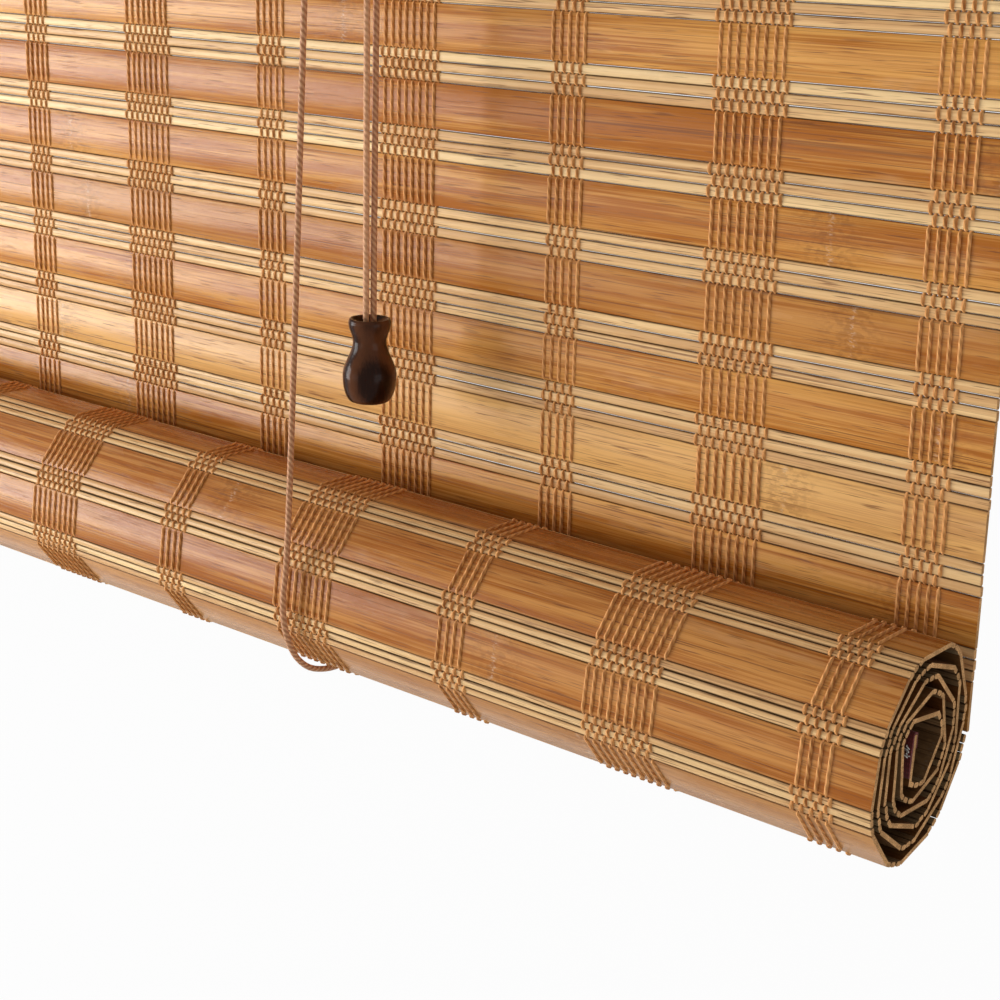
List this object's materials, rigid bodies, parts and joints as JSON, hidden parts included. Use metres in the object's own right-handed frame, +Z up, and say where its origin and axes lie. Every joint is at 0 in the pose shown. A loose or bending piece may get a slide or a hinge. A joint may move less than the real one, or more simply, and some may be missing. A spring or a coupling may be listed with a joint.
{
  "type": "bamboo roll-up blind",
  "caption": "Window blind of woven bamboo slats and reeds, rolled up from below on two cords over headrail pulleys, with a turned wooden pull tassel.",
  "frame": {"origin": "midway between the two wall-screw holes, on the back face of the headrail's rear board", "axes": "+X along the slats to the right as seen from the room, +Y into the wall, +Z up"},
  "size_m": [0.804, 0.075, 0.6735],
  "materials": {
    "headrail_timber": "plain planed pine",
    "stained_timber": "stained and lacquered pine",
    "bamboo": "carbonised bamboo with satin lacquer",
    "thread": "spun polyester thread",
    "hem_cloth": "dark red woven cloth",
    "bracket_steel": "zinc plated sheet steel",
    "screw_steel": "zinc plated steel",
    "wheel_brass": "turned brass",
    "cord": "fine reddish brown braid",
    "tassel_wood": "dark stained and varnished turned wood"
  },
  "bodies": {
    "blind": {"rear_board": "headrail_timber", "front_batten": "stained_timber", "clamp_screws": "screw_steel", "mat_panel": "bamboo", "panel_threads_front": "thread", "panel_threads_back": "thread", "mat_roll": "bamboo", "roll_threads": "thread", "hem_binding": "hem_cloth", "pulley_bracket_left": "bracket_steel", "pulley_bracket_right": "bracket_steel", "pulley_axle_left": "screw_steel", "pulley_axle_right": "screw_steel", "pulley_spacer": "screw_steel", "bracket_screws_left": "screw_steel", "bracket_screws_right": "screw_steel", "lift_cord_left": "cord", "lift_cord_right": "cord", "anchor_knot_left": "cord", "anchor_knot_right": "cord", "tassel": "tassel_wood", "tassel_knot": "cord"},
    "left_wheel": {"pulley_wheel_left": "wheel_brass"},
    "right_rear_wheel": {"pulley_wheel_right_rear": "wheel_brass"},
    "right_front_wheel": {"pulley_wheel_right_front": "wheel_brass"}
  },
  "joints": [
    {"name": "left_wheel_spin", "type": "hinge", "parent": "blind", "child": "left_wheel", "pos_m": [-0.182, -0.0438, -0.021], "axis": [0, 1, 0], "continuous": true},
    {"name": "right_rear_wheel_spin", "type": "hinge", "parent": "blind", "child": "right_rear_wheel", "pos_m": [0.194, -0.0438, -0.021], "axis": [0, 1, 0], "continuous": true},
    {"name": "right_front_wheel_spin", "type": "hinge", "parent": "blind", "child": "right_front_wheel", "pos_m": [0.194, -0.0514, -0.021], "axis": [0, 1, 0], "continuous": true}
  ],
  "couplings": [
    {"joint": "right_front_wheel_spin", "follows": "left_wheel_spin", "ratio": 1},
    {"joint": "right_rear_wheel_spin", "follows": "left_wheel_spin", "ratio": 1}
  ]
}
